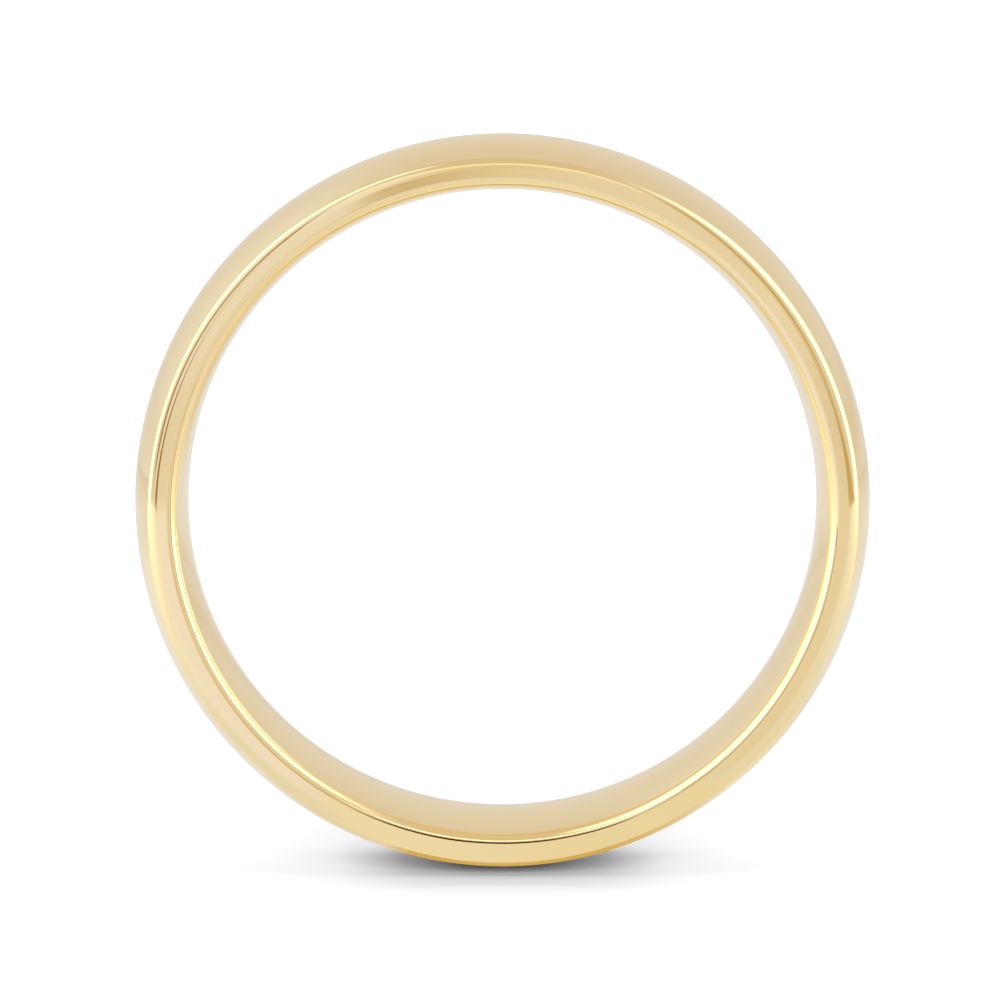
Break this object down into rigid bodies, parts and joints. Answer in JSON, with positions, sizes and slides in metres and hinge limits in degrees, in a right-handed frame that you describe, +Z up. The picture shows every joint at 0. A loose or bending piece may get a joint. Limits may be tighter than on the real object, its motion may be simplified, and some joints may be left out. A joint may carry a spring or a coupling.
{
  "type": "wedding band",
  "caption": "Plain comfort-fit wedding band in polished yellow gold: domed outside, narrow flat side faces, softly rounded corners and a bore that bulges towards the finger.",
  "frame": {"origin": "centre of the finger hole, halfway along the band's width", "axes": "+Y along the finger axis, from the near side face to the far one; +Z up, with the band standing on its edge; +X to the right"},
  "size_m": [0.023, 0.006, 0.023],
  "materials": {
    "polished_gold": null
  },
  "bodies": {
    "root": {"band": "polished_gold"}
  },
  "joints": []
}
